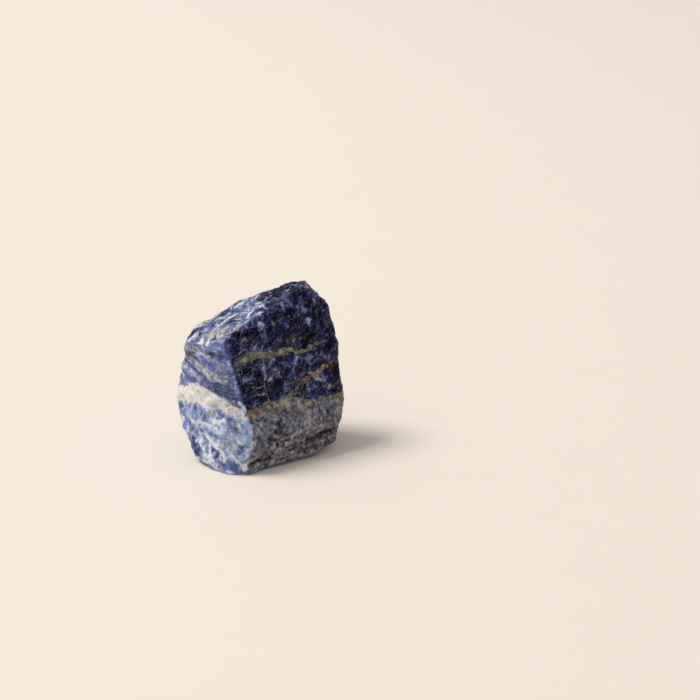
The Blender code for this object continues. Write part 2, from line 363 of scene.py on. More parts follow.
mineralPlaces = {
    "haze": [
        [7.3, -3.2, 36.6, 1.4, 10.2, -1.4, 36.3, 1.7, 11.9, -0.1, 36.8, 1.1], [8.4, -3, 34.4, 0.86,
        10.7, -2, 34.4, 0.86], [-3.8, -14.7, 30.8, 0.86, -1, -13.1, 31.1, 1, 0.6, -11.6, 31.2, 0.75],
        [5.7, -9, 29.2, 0.57, 7.4, -7.6, 29, 0.57]],
    "black": [
        [-3.8, -16.6, 26, 1.3, -1, -15.6, 24.7, 1.4, 0.6, -13.4, 25.7, 0.86], [4.6, -10.3, 27.9, 1.1,
        6.2, -9.1, 25.9, 1.3, 4.5, -10.8, 25.3, 0.98], [-8.8, -15.6, 35.4, 0.75,
        -7.5, -14.2, 36.3, 0.75], [15.9, 2.5, 35.2, 1.1, 13.6, 1.2, 36.3, 1], [21.7, 2.8, 25.5, 0.75,
        24, 3.7, 23.5, 0.86], [-7.7, -16.4, 31.1, 0.75, -6.3, -15.7, 31.4, 0.57], [20, -0.8, 21.5, 0.86,
        21.4, 0, 21.5, 0.75], [-2.7, -10.2, 39.5, 0.86, -1.1, -8.8, 39.9, 0.86]],
    "royal": [
        [9, -6.5, 26.2, 1.1, 11.3, -5.9, 24.7, 1.5, 13, -3.6, 26.3, 1.1], [7.9, -9.2, 22.8, 1,
        10.8, -7.1, 22.7, 1.3], [8.8, -10.1, 19.5, 0.98, 10.8, -8.8, 18.8, 0.92, 7.4, -11.2, 20.5, 0.57],
        [-2.1, -17.3, 22.3, 0.86, 0.1, -16.4, 21.3, 1, 2.6, -14.5, 21.8, 0.75], [8.5, -5.9, 30.5, 0.86,
        11.9, -3.8, 29.1, 1.1, 15.9, -1, 28.7, 1.1, 17.1, 0.7, 30.6, 0.98], [15.9, -5.3, 19.5, 1.1,
        18.8, -2.5, 19.6, 1.3, 20.8, -1.5, 16.8, 0.8], [-5.2, -16.2, 28.9, 0.69, -3, -15.1, 28.8, 0.75],
        [19.1, -0.3, 23.8, 0.98, 21.4, 1.9, 23.9, 0.86], [1.2, -11.1, 31.6, 0.57,
        3.4, -10.5, 30.1, 0.75], [5, -3.4, 39.2, 0.75, 6.2, -3.2, 37.9, 0.57]],
    "net": [
        [10.7, -2.7, 32.5, 0.17, 11.8, -3.5, 30.6, 0.23, 11.3, -4.4, 29.1, 0.2, 12.7, -3.1, 27.8, 0.17],
        [14.8, -0.5, 31.3, 0.17, 15.4, -0.9, 29.6, 0.34, 15, -1.5, 28.5, 0.23, 16.8, -0.7, 27.3, 0.17],
        [9.9, -5.3, 29.7, 0.17, 11.9, -3.7, 29.3, 0.26, 13.2, -2.9, 27.3, 0.2, 15, -2.3, 26.7, 0.23,
        16.9, -1, 26.6, 0.17, 18.5, -0.3, 25.5, 0.14], [17.1, 1.1, 31.5, 0.17, 17.7, 0.4, 29.5, 0.2,
        16.5, -0.9, 28.5, 0.17], [21.1, 3.5, 29.4, 0.17, 22.6, 4.1, 27.8, 0.23, 22.3, 3.7, 26.5, 0.17,
        20.5, 2.2, 27.6, 0.14], [13, -2.2, 30.1, 0.17, 14.8, -1.1, 30.1, 0.17], [11.5, -4.8, 27.1, 0.17,
        11, -5.6, 25.8, 0.2, 11.9, -6.3, 23.6, 0.17], [18.8, 1.9, 30.6, 0.14, 19.1, 1, 28.9, 0.17],
        [9.9, -7.1, 23.9, 0.17, 10.9, -6.2, 24.3, 0.2], [7.3, -6.6, 30.2, 0.17, 9.6, -5.7, 29.2, 0.29,
        10.2, -5.4, 27.3, 0.14], [18.8, -1.2, 21.6, 0.11, 20.5, -1, 20, 0.14, 22.6, 0.1, 19.9, 0.11],
        [14.5, -5.3, 21.4, 0.14, 15.9, -3.8, 21.4, 0.17, 17.6, -3.2, 19.9, 0.14], [6.2, -8.9, 26.4, 0.11,
        7.4, -8, 26.7, 0.14, 8.5, -7.1, 25.8, 0.11], [-1.1, -12.3, 32.3, 0.14, 0.3, -11.7, 31.4, 0.17,
        1.5, -11, 31.5, 0.11], [-5.2, -12.3, 38.4, 0.11, -4.1, -11.2, 39.2, 0.23, -3, -10.6, 39.3, 0.17],
        [7.3, -2.4, 38.2, 0.11, 8.4, -2.2, 36.6, 0.14, 10.2, -1.5, 35.8, 0.11], [2.2, -6.1, 38.9, 0.11,
        3.7, -5.6, 37.8, 0.14, 5, -4, 37.9, 0.11], [-4.4, -16, 28.5, 0.14, -2.1, -15, 28.6, 0.17,
        -0.2, -13.5, 27.6, 0.11]],
    "slate": [
        [10.2, -10.7, 13.8, 1.4, 11.9, -9.6, 13, 1.6, 10.2, -9.7, 15.6, 0.86], [23.5, -2.2, 13.9, 1.4,
        24, -2.3, 10.8, 1.3, 22.6, -1.5, 15.5, 0.86], [20.2, -4.8, 9.2, 1.1, 17.1, -7.5, 9.4, 0.86,
        14.2, -9, 8.4, 1.1], [1.1, -18.3, 9.1, 1.1, 0, -19.7, 6.9, 0.86], [9, -13.3, 2.3, 0.69,
        11.3, -12.2, 2.2, 0.57]],
    "dusk": [
        [5.7, -15.3, 11.9, 1.3, 6.2, -14.9, 8.6, 1.7, 9, -13.1, 8.9, 1.4, 7.9, -14.1, 6.8, 1.1],
        [6.3, -14.7, 13.2, 0.69, 7.9, -13.3, 12.4, 0.75], [3.9, -16.6, 7.2, 0.86, 3.7, -16.4, 9.3, 0.69],
        [0, -20, 2.3, 0.63, 2.2, -18, 2.1, 0.69, 3.9, -16.5, 2.4, 0.57], [17.6, -8.1, 3, 0.86,
        21.1, -4.9, 3.3, 0.98, 23.4, -3.1, 4.4, 0.75]],
    "bright": [
        [-9.1, -21.1, 5.7, 0.6, -8.8, -21.4, 4.2, 1.4, -7.6, -21.6, 2.7, 1.2], [-9.8, -20.6, 2.2, 1.3],
        [-23.2, -1.5, 12.4, 1.4, -21.8, -4.9, 11.1, 1.4, -23.2, -3.1, 9.1, 1.2], [-21.8, -4.9, 11.1, 1.2,
        -19.9, -9.4, 10.6, 0.8], [-11.5, -16.2, 18.2, 0.9, -9.9, -18.2, 17.8, 1],
        [-11.2, -17.2, 16.4, 0.8], [-9.9, -14.4, 39.2, 0.57, -9, -15, 36.9, 0.57,
        -8.6, -15.7, 34.5, 0.69, -7.9, -16.1, 32.2, 0.63], [-7.2, -16.7, 29.4, 0.57,
        -6.5, -17.2, 27.1, 0.69, -5.7, -18, 25, 0.86, -5.1, -18.4, 23, 0.75], [-16.2, -10.9, 33, 0.69,
        -14.1, -12.7, 32.2, 0.86, -12, -14.9, 31.7, 0.75], [-21.7, -3.3, 29, 0.69,
        -21.4, -5.2, 26.9, 0.8, -22.8, -1.7, 23.7, 0.69, -19.5, -7.4, 25.3, 0.75],
        [-11.3, -14.4, 37.6, 0.57, -13.2, -12.2, 38.1, 0.57]],
    "grey": [
        [-14.7, -13.9, 17.3, 0.9, -13.6, -14.9, 16.8, 0.8], [-8.9, -20.4, 10.3, 0.8],
        [-16.9, 5, 38.4, 0.9, -15.8, 7, 38.7, 0.8, -14.7, 9, 38.7, 0.6], [-15.3, -6, 39.1, 1.3,
        -13.3, -8.2, 39.7, 1.3, -11.4, -10.1, 40.6, 1.2, -9.5, -11.4, 41.2, 1], [-14.1, -5, 39.7, 1.1,
        -12, -7, 40.6, 1.2, -9.6, -9.2, 41.6, 1], [-7.6, -10.6, 42, 0.7, -5.2, -8, 42.8, 0.6],
        [-22.2, -4.4, 34.8, 0.4, -20.5, -6, 35.1, 0.52, -18.7, -7.4, 35.4, 0.29], [-22.4, -3, 30.7, 0.46,
        -20.8, -5.4, 31.7, 0.52, -19.4, -6.3, 32.2, 0.29], [-18.7, -7.4, 35.4, 0.29,
        -16.8, -10, 35.1, 0.29, -15, -11.4, 34.5, 0.32, -13.2, -13, 33.7, 0.23, -11.4, -14.6, 33.2, 0.26,
        -9.6, -15.8, 32.6, 0.23, -7.9, -16.2, 31.9, 0.23], [-17.9, -8.4, 30, 0.4, -16.4, -11, 30.3, 0.57,
        -15, -13, 30.1, 0.46, -13.2, -15, 29.7, 0.26, -11.4, -15.8, 28.9, 0.23, -9.1, -16.8, 28.2, 0.2]],
    "deep": [
        [-13.4, -17.3, 5.7, 0.8, -12.2, -18.7, 5.3, 0.95], [-13.2, -17.9, 4.2, 0.75],
        [-20, -10.1, 6.7, 1.3, -19.3, -11.8, 5.4, 1.3, -18.7, -12.9, 3.2, 1.1], [-20.8, -8.6, 5.6, 1.3,
        -19.8, -10.8, 3.2, 1.2], [-17.6, -12.4, 12.6, 0.3, -17.4, -12.6, 11, 0.5],
        [-21.2, -6.7, 5.6, 0.75, -19.7, -10.8, 6, 1.1, -18.1, -13.7, 5.3, 0.98,
        -19.5, -11.5, 2.5, 0.69]],
    "line": [
        [-15.1, -12.5, 24.6, 0.29, -13.3, -14.5, 24.6, 0.32, -11.5, -16, 24.4, 0.34,
        -9.1, -18.1, 23.8, 0.32, -7.4, -18.5, 22.4, 0.32, -5.6, -18.8, 20.9, 0.34],
        [-15.9, -12.9, 15.4, 0.29, -16.4, -12.6, 14.5, 0.34], [-19.5, -6.2, 30.7, 0.34,
        -19, -6.7, 30.2, 0.29], [-21.8, -4.7, 32.9, 0.4, -19.3, -6.8, 33.6, 0.4],
        [-18.5, -7.4, 28.9, 0.4, -18.2, -8.5, 27.5, 0.4, -18.9, -8.2, 26.1, 0.34],
        [-13.8, -14.6, 28.9, 0.23, -11.5, -15.4, 27.1, 0.26, -9.7, -17.2, 26.2, 0.23],
        [-13.2, -14.6, 30.4, 0.17, -10.2, -16.6, 29.3, 0.17]],
    "brown": [
        [12.4, -11.3, 3.4, 0.86, 14.4, -10, 3.5, 0.98, 16.8, -8.1, 4.6, 0.86], [18.8, -5.8, 5.9, 0.69,
        20.5, -4.7, 5.4, 0.86, 20.2, -5.4, 3.8, 0.63], [22.3, -3.6, 6.9, 0.4, 24, -1.8, 6.5, 0.52]],
    "tan": [
        [-6.9, -15.6, 32.6, 0.3, -6.1, -14.8, 32.9, 0.38, -5.2, -14.2, 33.3, 0.5, -3.8, -13.5, 33.9, 0.8,
        -2.4, -12.7, 34.5, 1.1, -1, -11.7, 34.5, 1.15, 0.6, -10.4, 34.1, 1, 2.6, -9, 33.7, 0.88,
        4.5, -7.4, 33.3, 0.76, 6.5, -5.6, 32.9, 0.56, 9, -3.6, 32.4, 0.35], [11.3, -2.7, 32.2, 0.34,
        13, -1.3, 32.1, 0.4, 14.7, 0.1, 32.2, 0.46, 16, 1.4, 32.8, 0.63, 17.3, 2.6, 33, 0.57,
        18.8, 3.4, 33.3, 0.34, 20.5, 5, 33.1, 0.29], [0.1, -17.6, 17.5, 0.4, 1.8, -16.5, 17.7, 0.46,
        3.2, -15, 18, 0.46], [4, -15.8, 15.2, 0.34, 3.7, -15.4, 16.6, 0.46, 4.5, -13.3, 18, 0.69,
        6.2, -12.1, 19, 0.8, 7.7, -11.2, 19.5, 0.63], [9.9, -10, 15.4, 0.34, 11.9, -8.4, 15.7, 0.52,
        14.2, -7.4, 17.2, 0.86, 15.6, -6.5, 16.5, 0.52], [21.4, -1.4, 16.5, 0.75, 23.2, -0.5, 16.8, 0.57,
        25.5, 1.5, 17.1, 0.4], [22, -3.5, 10.9, 0.75, 20.5, -4.1, 10.5, 0.57, 18.5, -5.8, 10.9, 0.46],
        [5.6, -4.2, 37, 0.2, 6.6, -3.7, 36.5, 0.17], [8.7, -2.2, 35.7, 0.23, 8.9, -2.5, 34.9, 0.17],
        [-3.9, -11, 39.4, 0.29, -2.9, -10.6, 39, 0.23], [8.5, -9.5, 20.8, 0.29, 10.2, -8.2, 21, 0.46,
        12.5, -7.1, 20.8, 0.26], [-25, 5.3, 18.8, 0.29, -23.7, 0.8, 20.7, 0.29],
        [-17.2, -10.5, 20.4, 0.29, -16.9, -11.1, 20, 0.23], [-24.5, 1.1, 11.9, 0.34,
        -23.5, -0.7, 12.3, 0.29], [-9.3, -20, 11.3, 0.34, -8.7, -20.3, 11, 0.29], [-21.6, -7, 8, 0.7,
        -21.1, -6.7, 8.1, 0.8, -19.7, -9.6, 9.6, 0.5], [4.2, -2.9, 42.5, 0.2, 5, -2.7, 40.8, 0.25],
        [5.3, -2.2, 41.9, 0.16, 5.6, -2.2, 41, 0.16]],
    "cream": [
        [6.6, -5.1, 33.6, 0.46, 7.9, -3.7, 33.5, 0.63, 9.6, -2.6, 33.2, 0.63, 10.7, -2.6, 32.7, 0.34],
        [15.7, 1.5, 33, 0.34, 16.8, 2.1, 32.9, 0.29], [15.3, -2.6, 25.6, 0.23, 17.1, -1.3, 25.2, 0.26,
        18.9, -0.1, 25, 0.26], [4.5, -13.1, 18.4, 0.29, 6.2, -12.1, 19.2, 0.4, 7.4, -11.4, 19.5, 0.34],
        [13, -7.9, 16.8, 0.34, 14.5, -7.2, 17.3, 0.4], [1.2, -17, 17.4, 0.23, 2.3, -15.9, 17.8, 0.23],
        [15.9, -6.9, 7, 0.26, 18.2, -6.6, 8.1, 0.26, 20.5, -3.8, 7.4, 0.29, 22.9, -3, 7.9, 0.23,
        24.3, -2.1, 8.1, 0.23], [5, -15.2, 3.9, 0.29, 6.1, -14.6, 4.1, 0.4, 7, -14.3, 3.7, 0.23],
        [8.5, -13.8, 6.8, 0.23, 8.1, -14, 7, 0.17], [19.1, -3.9, 14.9, 0.52, 19.7, -4.2, 13.7, 0.29],
        [16.1, -7.6, 14.1, 0.14, 16.4, -7.3, 13.6, 0.11], [5.7, -13.4, 16.7, 0.23,
        5.8, -13.4, 16.6, 0.17], [7.6, -12.9, 13.9, 0.26, 7.9, -12.8, 13.8, 0.17],
        [10.2, -12.1, 7.8, 0.26, 10.3, -11.8, 7.5, 0.17], [16.1, -8.1, 10.9, 0.4,
        15.9, -8.3, 10.6, 0.26], [22, -3.6, 10.6, 0.4, 21.6, -3.7, 10.4, 0.26]],
    "ochre": [
        [-1.7, -20.6, 3.1, 0.29, -0.6, -19.7, 3.6, 0.34], [1.1, -18.2, 4, 0.4, 2.5, -17.1, 4.1, 0.46,
        3.9, -15.4, 4.5, 0.4, 4.6, -14.9, 4.9, 0.29], [8.4, -13.1, 4.8, 0.34, 10.1, -11.9, 4.7, 0.63,
        11.3, -11.2, 4.8, 0.29]],
    "rust": [
        [12.8, -5.7, 23.3, 0.29, 14.5, -3.8, 24.1, 0.49, 15.9, -2.5, 24.3, 0.4, 17.5, -1, 24.7, 0.37,
        18.8, -0.2, 24.8, 0.32], [15.3, -2.6, 25.6, 0.34, 17.3, -1, 25.5, 0.46, 18.8, -0.2, 26.1, 0.49,
        20.5, 2, 26.3, 0.49, 22, 3.4, 26.5, 0.43, 23.6, 4.7, 26.7, 0.34], [-2.5, -19.1, 18.7, 0.98,
        -1.3, -18.1, 18.4, 0.92, -0.2, -17.2, 18.6, 0.46, 1.5, -16.5, 19.3, 0.4, 2.6, -15.3, 19.8, 0.52,
        3.1, -14.4, 20.2, 0.29], [24.3, 0.7, 16.8, 0.23, 25.1, 1.2, 17, 0.29]],
    "white": [
        [-15.8, -14.6, 10.7, 0.3, -15.5, -14.7, 10, 0.5, -14.4, -15.8, 8.9, 0.8, -14.6, -15.8, 6.4, 0.35,
        -14.6, -16.7, 4.3, 0.35, -13.6, -17.7, 3.2, 0.2], [-14.2, -16, 8.8, 0.7, -13.2, -16.9, 7.9, 0.6,
        -11.4, -19.3, 7.2, 0.4, -10.3, -20, 6.2, 0.35, -9.9, -20.8, 4.5, 0.35, -10.4, -20.2, 3.3, 0.3],
        [-17.8, -13, 7.1, 0.2, -16.5, -14.9, 5.4, 0.3, -15.9, -15.6, 3.7, 0.5], [-8, -21, 6.9, 0.3,
        -6.6, -21.5, 5.1, 0.4, -5, -21.8, 3.6, 0.5, -3.7, -21.7, 2.2, 1], [-5.6, -19.6, 15.6, 0.35,
        -4.9, -19.7, 13.7, 0.5], [-13.4, -16.1, 15.1, 0.6, -11.2, -17.5, 15.7, 0.6,
        -10.2, -18.1, 16.6, 0.4], [-12.4, -17.8, 13.9, 0.6], [-12.1, -19.3, 2.7, 0.2,
        -12.6, -18.8, 0.8, 0.5], [-21, -7.4, 13, 0.2, -19.9, -9.4, 12.5, 0.2, -18.8, -10.7, 12.2, 0.2],
        [-23.3, -0.6, 13, 0.4], [-15.9, -13.5, 13.4, 0.45], [-17.3, -12.9, 11.9, 0.3],
        [-12.8, 0.5, 40.4, 0.5], [-5.2, 13.1, 43.2, 0.4, -7.2, 11.3, 42.1, 0.4], [-4.3, 5.1, 43.1, 0.35,
        -3.2, 5, 43.3, 0.35], [-4.7, 2.1, 43, 0.35], [-6.1, -2.2, 42.6, 0.3, -4.2, -2.1, 43.3, 0.3,
        -1.8, -3.4, 44, 0.2, 0.7, -3.4, 44.5, 0.3], [-11, -0.5, 41.3, 0.2, -9, 1.4, 41.8, 0.3,
        -7.4, 6.6, 41.6, 0.3], [-5.3, -18.6, 22.2, 0.34, -4, -18.9, 20.8, 0.46, -3.1, -19.1, 19.6, 0.34],
        [-7.5, -18.7, 18.5, 0.75, -6.3, -18.7, 18.5, 0.63], [-21.2, -5.2, 22.2, 0.75,
        -19.9, -6.5, 22.7, 0.63], [-8.6, -15.8, 34.2, 0.2, -8.3, -16, 33, 0.17]],
    "hair": [
        [1.7, -8.3, 36.4, 0.37, 1.7, -9, 35.7, 0.26, 1.7, -9.7, 34.7, 0.14, 1.8, -10.4, 32.5, 0.14,
        2, -11, 30.9, 0.11, 2.3, -11.7, 29.3, 0.4, 2.4, -11.9, 28.2, 0.34, 2.2, -12.4, 26.9, 0.11,
        2.3, -13, 25.2, 0.14, 2.9, -14, 22.9, 0.17, 3.5, -13.8, 21.1, 0.2, 3.8, -13.7, 19.8, 0.17],
        [-0.2, -14.3, 25.1, 0.14, 0.9, -13.5, 25.1, 0.17, 2.2, -13, 25.3, 0.11], [-1, -16.3, 23.4, 0.17,
        0.4, -15.4, 23.4, 0.17, 2.2, -14.4, 23.3, 0.11], [6.2, -10.5, 23.4, 0.11, 7.9, -9, 23.7, 0.11,
        8.5, -8.2, 24.3, 0.086], [11.3, -7.2, 21.8, 0.2, 12.2, -6.6, 22.8, 0.17],
        [-8.6, -14.1, 38.2, 0.11, -7.7, -13.5, 38.8, 0.11], [21.1, -0.8, 19.6, 0.11,
        22.9, 0.7, 20.3, 0.11], [-1.3, -11.3, 36.2, 0.11, -0.2, -10.2, 37.4, 0.14,
        0.3, -9.3, 38.2, 0.11], [-5.8, -14.1, 35.4, 0.2, -4.4, -12.8, 36.5, 0.2,
        -3.6, -12.1, 36.7, 0.14], [-17.9, -9.2, 26.5, 0.14, -16.3, -11.5, 25.9, 0.2,
        -15.1, -12.6, 25.1, 0.2], [-11.5, -15.6, 27.7, 0.14, -9.1, -16.9, 27.3, 0.14,
        -6.2, -17.5, 26.6, 0.2], [-13.8, -13, 32.3, 0.14, -11.4, -15.5, 31.7, 0.14,
        -9.1, -16.2, 30.7, 0.11], [-11.4, -14.6, 33.5, 0.17, -9.6, -15.7, 32.8, 0.23,
        -7.9, -16.2, 32, 0.17]],
    # painted shade down in a crevice: dark lines in the cuts, not a mineral
    "crackShade": [
        [4.4, -15.3, 4.3, 0.086, 6.1, -14.7, 3.9, 0.086, 7.9, -13.5, 4.6, 0.11]],
}
# the painted shade of the cracks also lies in the first two crevices, narrower than these
mineralPlaces["crackShade"] += [[value - 0.12 * (place % 4 == 3) for place, value in enumerate(row)]
                           for _, row in stoneCuts[:2]]
# the front edge from the top down, as a row of dabs with no width
ridgeLine = [-10, -14.1, 39.8, 0, -7.6, -15.8, 33.1, 0, -5.1, -17.7, 25.4, 0, -3.2, -19.3, 19.3, 0,
             -2.1, -20, 16.5, 0, -1.2, -20.7, 13, 0, -1.5, -21.1, 8.9, 0, -2.5, -21.1, 5.2, 0,
             -3.1, -21.2, 2.8, 0]
topEdge = [(-10, -14.1), (1.2, -2.3)]       # where the right face meets the top, seen from above
# the pale band's edges: x, then the levels of its upper and its lower edge, in mm
bandEdges = [(-26, 16.5, 12), (-23, 18.9, 14.3), (-20.5, 22.5, 16.7), (-18, 24.6, 18.4), (-14, 24.3, 19),
             (-9.5, 23.9, 19.7), (-6.5, 22.2, 19.4), (-3.8, 21.4, 18.9), (-1.8, 20.9, 19.7),
             (0, 21.5, 20.4), (2.3, 22.6, 21.5), (4.6, 22, 21), (8.5, 22.5, 21.5), (12, 21.3, 20.4),
             (16, 19.7, 18.7), (21.7, 19.2, 18.3), (26, 19.8, 18.8)]
# the dark skin: how far the front edge leans, and its border across the top, by x, with its waves
darkSkin = {
    "edgeLean": 1.25, "border": 0.9, "borderSlope": 0.07, "borderSoft": 0.16,
    "waves": [(1.0, 0.55, 0.6), (0.6, 1.3, 1.0)],       # height, then waves per mm by y and by z
}


def storeField(mesh, name, values):
    layer = mesh.attributes.get(name) or mesh.attributes.new(name, "FLOAT", "POINT")
    layer.data.foreach_set("value", np.ascontiguousarray(values, dtype=np.float32))


def markStone(mesh):
    points = readVertices(mesh, "co")
    facing = steadyNormals(mesh)
    onTop = facing @ np.array(topFace)
    level = points @ np.array(levelTilt)
    x, y, z = points.T
    bandX, upper, lower = np.array(bandEdges).T
    storeField(mesh, "level", level)
    storeField(mesh, "aboveBand", level - np.interp(x, bandX, upper))
    storeField(mesh, "belowBand", np.interp(x, bandX, lower) - level)
    # mm inside the dark skin's border: the whole right face, and the top and back beyond the middle
    edge = np.array(ridgeLine).reshape(-1, 4)[::-1]
    besideEdge = (x - np.interp(z, edge[:, 2], edge[:, 0])) * darkSkin["edgeLean"]
    corner, along = np.array(topEdge[0]), np.array(topEdge[1]) - np.array(topEdge[0])
    beforeTop = ((x - corner[0]) * along[1] - (y - corner[1]) * along[0]) / np.hypot(*along)
    beyond = x - darkSkin["border"] + darkSkin["borderSlope"] * y
    for high, byY, byZ in darkSkin["waves"]:
        beyond = beyond + high * np.sin(byY * y + byZ * z)
    inside = np.maximum(np.minimum(besideEdge, beforeTop), beyond * darkSkin["borderSoft"])
    storeField(mesh, "darkSkin", inside)
    storeField(mesh, "topSide", onTop)
    ridgeAway = outsideOf(points, facing, [ridgeLine])
    storeField(mesh, "ridge", np.where(inside > 0, -1.0, 1.0) * ridgeAway)
    for name, rows in mineralPlaces.items():
        storeField(mesh, name, outsideOf(points, facing, rows))


# shader groups: each gives a mask or a value that the material mixes with

def warpGroup():
    given, finish = newGroup("stoneWarp", {
        "Vector": "Vector", "Scale": 0.3, "Amount": 1.0}, "Vector", "Vector")
    colour = noiseOf(given["Vector"], given["Scale"], 2.0, 0.5, out="Color")
    push = vectorCalc("SUBTRACT", colour, (0.5, 0.5, 0.5))
    push = vectorCalc("SCALE", push, scale=times(given["Amount"], 2.0))
    return finish(vectorCalc("ADD", given["Vector"], push))


def pullGroup():
    # draws whatever is laid on the vector out along one direction
    given, finish = newGroup("drawnOut", {
        "Vector": "Vector", "Along": "Vector", "Stretch": 3.0}, "Vector", "Vector")
    along = vectorCalc("NORMALIZE", given["Along"])
    reach = vectorCalc("DOT_PRODUCT", given["Vector"], along)
    shift = times(reach, less(calc("DIVIDE", 1.0, given["Stretch"]), 1.0))
    shift = vectorCalc("SCALE", along, scale=shift)
    return finish(vectorCalc("ADD", given["Vector"], shift))


def layerGroup():
    # noise that changes quickly from layer to layer and slowly within one
    given, finish = newGroup("layerLines", {
        "Vector": "Vector", "Pitch": 1.0, "Run": 8.0, "Roughness": 0.65}, "Value")
    across = addBeside([given["Vector"]], "ShaderNodeVectorMath", operation="NORMALIZE")
    across = feed(across, {0: levelTilt}).outputs[0]
    level = vectorCalc("DOT_PRODUCT", given["Vector"], across)
    upright = vectorCalc("SCALE", across, scale=level)
    within = vectorCalc("SUBTRACT", given["Vector"], upright)
    within = vectorCalc("SCALE", within, scale=calc("DIVIDE", 1.0, given["Run"]))
    quick = vectorCalc("SCALE", across, scale=calc("DIVIDE", level, given["Pitch"]))
    both = vectorCalc("ADD", within, quick)
    return finish(noiseOf(both, 1.0, 6.0, given["Roughness"]))


def wispGroup():
    # thin curling lines where a noise passes its middle, fading out where a slow noise is low
    given, finish = newGroup("wisps", {
        "Vector": "Vector", "Scale": 0.4, "Width": 0.03, "Cover": 0.5, "Patch": 0.15}, "Mask")
    off = calc("ABSOLUTE", less(noiseOf(given["Vector"], given["Scale"], 4.0, 0.6), 0.5))
    elsewhere = vectorCalc("ADD", given["Vector"], (31.0, 17.0, 5.0))
    patch = noiseOf(elsewhere, given["Patch"], 5.0, 0.65)
    low = less(0.66, times(given["Cover"], 0.4))
    strength = stepBetween(patch, low, calc("ADD", low, 0.14))
    width = times(given["Width"], calc("MULTIPLY_ADD", strength, 0.8, 0.2))
    line = stepBetween(off, times(width, 0.2), width, 1.0, 0.0)
    return finish(times(line, strength))


def fleckGroup():
    # small loose grains of no set shape
    given, finish = newGroup("flecks", {
        "Vector": "Vector", "Scale": 1.6, "Above": 0.7, "Soft": 0.03}, "Mask")
    grains = noiseOf(given["Vector"], given["Scale"], 3.0, 0.6)
    full = calc("ADD", given["Above"], given["Soft"])
    return finish(stepBetween(grains, given["Above"], full))


def edgeGroup():
    # turns mm outside a shape into a mask, its border broken up by a noise from 0 to 1
    given, finish = newGroup("grainyEdge", {
        "Outside": 0.0, "Noise": 0.5, "Ragged": 1.0, "Soft": 0.2}, "Mask")
    reach = times(given["Ragged"], 4.0)
    moved = calc("MULTIPLY_ADD", less(given["Noise"], 0.5), reach, given["Outside"])
    return finish(stepBetween(moved, times(given["Soft"], -1.0), given["Soft"], 1.0, 0.0))


shaderGroups = {"warp": warpGroup(), "pull": pullGroup(), "layers": layerGroup(), "wisps": wispGroup(),
                "flecks": fleckGroup(), "edge": edgeGroup(), "flakes": flakeGroup("ShaderNodeTree")}


def placeGroup(name, **values):
    node = addBeside(values.values(), "ShaderNodeGroup", node_tree=shaderGroups[name])
    return feed(node, values).outputs[0]


def tint(red, green, blue):
    # screen values from 0 to 255 as a linear colour
    parts = [v / 255 for v in (red, green, blue)]
    return tuple(v / 12.92 if v <= 0.04045 else ((v + 0.055) / 1.055) ** 2.4 for v in parts) + (1.0,)


def over(share, under, upper, kind="RGBA"):
    node = addBeside([share], "ShaderNodeMix", data_type=kind)
    return socketOf(feed(node, {"Factor": share, "A": under, "B": upper}).outputs, "Result")


def shades(value, stops):
    node = addBeside([value], "ShaderNodeValToRGB")
    elements = feed(node, {0: value}).color_ramp.elements
    while len(elements) < len(stops):
        elements.new(0.5)
    for element, (position, *colour) in zip(elements, stops):
        element.position = position
        element.color = tint(*colour)
    return node.outputs["Color"]


# the sodalite itself

